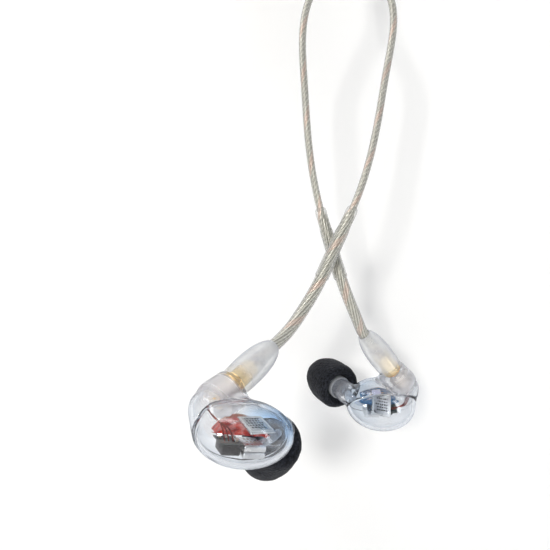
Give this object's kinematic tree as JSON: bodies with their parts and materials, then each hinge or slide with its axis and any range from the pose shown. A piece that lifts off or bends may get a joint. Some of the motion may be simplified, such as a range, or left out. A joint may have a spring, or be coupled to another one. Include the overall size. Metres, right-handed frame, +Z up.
{
  "type": "in-ear monitors",
  "caption": "Clear-shell wired in-ear monitors with detachable swivelling earpieces, foam ear sleeves, formable ear wires and a coiled cable to a stereo plug.",
  "frame": {"origin": "middle of the underside of the whole object's box, as it hangs", "axes": "+Z up along the cable, +X to the right and -Y towards the front, with the outer face of the right-ear piece at the front"},
  "size_m": [0.0559, 0.0612, 0.1872],
  "materials": {
    "clear_shell": "clear polycarbonate, polished",
    "clear_tube": "clear soft tube",
    "driver_steel": "satin steel cans",
    "driver_black": "black coated can",
    "tint_right": "red translucent moulding",
    "tint_left": "blue translucent moulding",
    "board": "glass-fibre circuit board",
    "chips": "ceramic components",
    "enamelled_wire": "enamelled copper",
    "gold": "gold plated brass",
    "white_insulator": "white fluoropolymer",
    "black_insulator": "black insulating rings",
    "mesh_steel": "perforated steel",
    "foam": "black slow-recovery foam",
    "black_rubber": "black elastomer",
    "spring_steel": "spring steel",
    "milky_boot": "milky translucent elastomer",
    "clear_cable": "clear cable jacket",
    "strands": "silver-plated and bare copper strands",
    "housing_metal": "black anodised housing"
  },
  "bodies": {
    "harness": {"y_split": "milky_boot", "main_jacket": "clear_cable", "main_conductors": "strands", "strain_relief": "black_rubber", "plug_housing": "housing_metal", "plug_sleeve": "gold", "plug_ring": "gold", "plug_insulators": "black_insulator", "plug_tip": "gold", "plug_barrel_right": "gold", "plug_insulator_right": "white_insulator", "plug_pin_right": "gold", "boot_right": "milky_boot", "leg_jacket_right": "clear_cable", "ear_wire_tube_right": "clear_cable", "leg_collar_right": "clear_cable", "leg_conductors_right": "strands", "memory_wire_right": "spring_steel", "plug_barrel_left": "gold", "plug_insulator_left": "white_insulator", "plug_pin_left": "gold", "boot_left": "milky_boot", "leg_jacket_left": "clear_cable", "ear_wire_tube_left": "clear_cable", "leg_collar_left": "clear_cable", "leg_conductors_left": "strands", "memory_wire_left": "spring_steel"},
    "slider": {"cable_slider": "clear_cable"},
    "retainer_right": {"snap_ring_right": "spring_steel"},
    "earpiece_right": {"outer_shell_right": "clear_shell", "inner_shell_right": "clear_shell", "woofer_driver_right": "driver_steel", "tweeter_driver_right": "driver_black", "driver_manifold_right": "tint_right", "sound_tube_right": "clear_tube", "crossover_board_right": "board", "board_components_right": "chips", "earpiece_wires_right": "enamelled_wire", "jack_body_right": "gold", "jack_insulator_right": "white_insulator", "jack_contact_right": "gold", "wax_guard_right": "mesh_steel"},
    "sleeve_right": {"foam_sleeve_right": "foam", "sleeve_core_right": "black_rubber"},
    "retainer_left": {"snap_ring_left": "spring_steel"},
    "earpiece_left": {"outer_shell_left": "clear_shell", "inner_shell_left": "clear_shell", "woofer_driver_left": "driver_steel", "tweeter_driver_left": "driver_black", "driver_manifold_left": "tint_left", "sound_tube_left": "clear_tube", "crossover_board_left": "board", "board_components_left": "chips", "earpiece_wires_left": "enamelled_wire", "jack_body_left": "gold", "jack_insulator_left": "white_insulator", "jack_contact_left": "gold", "wax_guard_left": "mesh_steel"},
    "sleeve_left": {"foam_sleeve_left": "foam", "sleeve_core_left": "black_rubber"}
  },
  "joints": [
    {"name": "slider_slide", "type": "slide", "parent": "harness", "child": "slider", "axis": [0, 0, 1], "range_m": [0, 0.0065]},
    {"name": "swivel_right", "type": "hinge", "parent": "harness", "child": "retainer_right", "pos_m": [-0.01897, -0.01762, 0.02186], "axis": [0.551, 0.7259, 0.4118], "continuous": true},
    {"name": "unplug_right", "type": "slide", "parent": "retainer_right", "child": "earpiece_right", "axis": [-0.551, -0.7259, -0.4118], "range_m": [0, 0.005]},
    {"name": "sleeve_off_right", "type": "slide", "parent": "earpiece_right", "child": "sleeve_right", "axis": [-0.2861, 0.6873, -0.6676], "range_m": [0, 0.008]},
    {"name": "swivel_left", "type": "hinge", "parent": "harness", "child": "retainer_left", "pos_m": [0.01994, 0.01512, 0.01807], "axis": [-0.5901, -0.3677, 0.7187], "continuous": true},
    {"name": "unplug_left", "type": "slide", "parent": "retainer_left", "child": "earpiece_left", "axis": [0.5901, 0.3677, -0.7187], "range_m": [0, 0.005]},
    {"name": "sleeve_off_left", "type": "slide", "parent": "earpiece_left", "child": "sleeve_left", "axis": [-0.4332, 0.8815, 0.1876], "range_m": [0, 0.008]}
  ]
}
